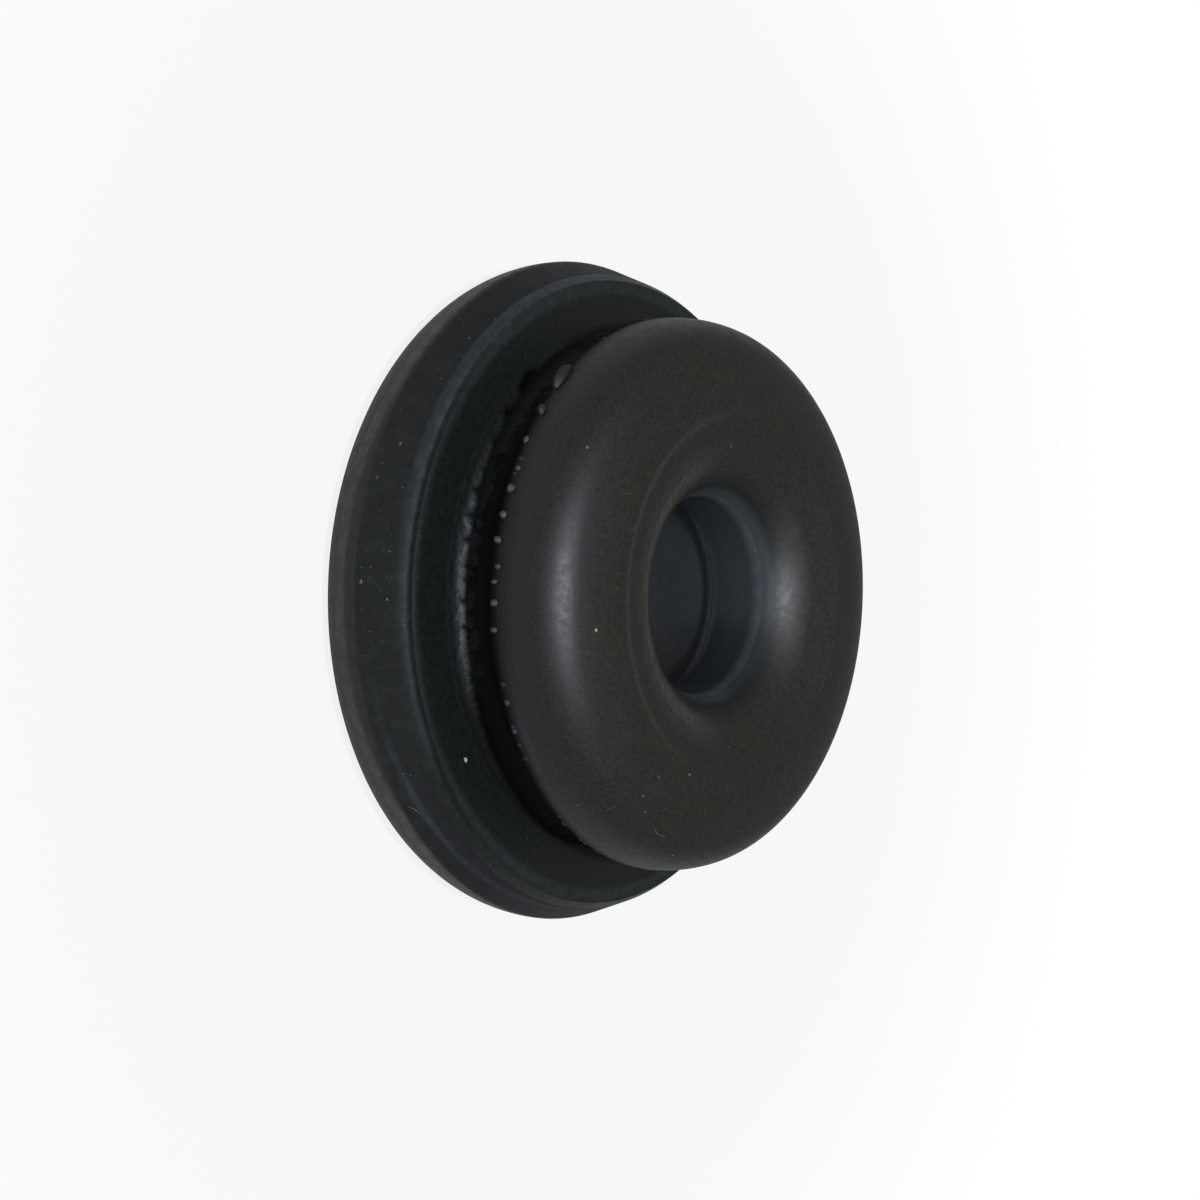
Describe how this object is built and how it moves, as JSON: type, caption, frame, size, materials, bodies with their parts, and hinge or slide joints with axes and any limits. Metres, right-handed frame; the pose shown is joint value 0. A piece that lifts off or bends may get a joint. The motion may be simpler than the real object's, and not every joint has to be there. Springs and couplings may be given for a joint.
{
  "type": "rubber grommet",
  "caption": "Round black rubber grommet: wide flange, panel groove, domed head and a rounded mouth leading to a stepped through bore.",
  "frame": {"origin": "centre of the flange's flat back, on the bore axis", "axes": "+Z along the bore axis, from the flange's flat back towards the mouth in the head; X and Y lie in the flat back"},
  "size_m": [0.03, 0.03, 0.0114],
  "materials": {
    "rubber": "moulded matte rubber with a faint sheen"
  },
  "bodies": {
    "root": {"grommet": "rubber"}
  },
  "joints": []
}
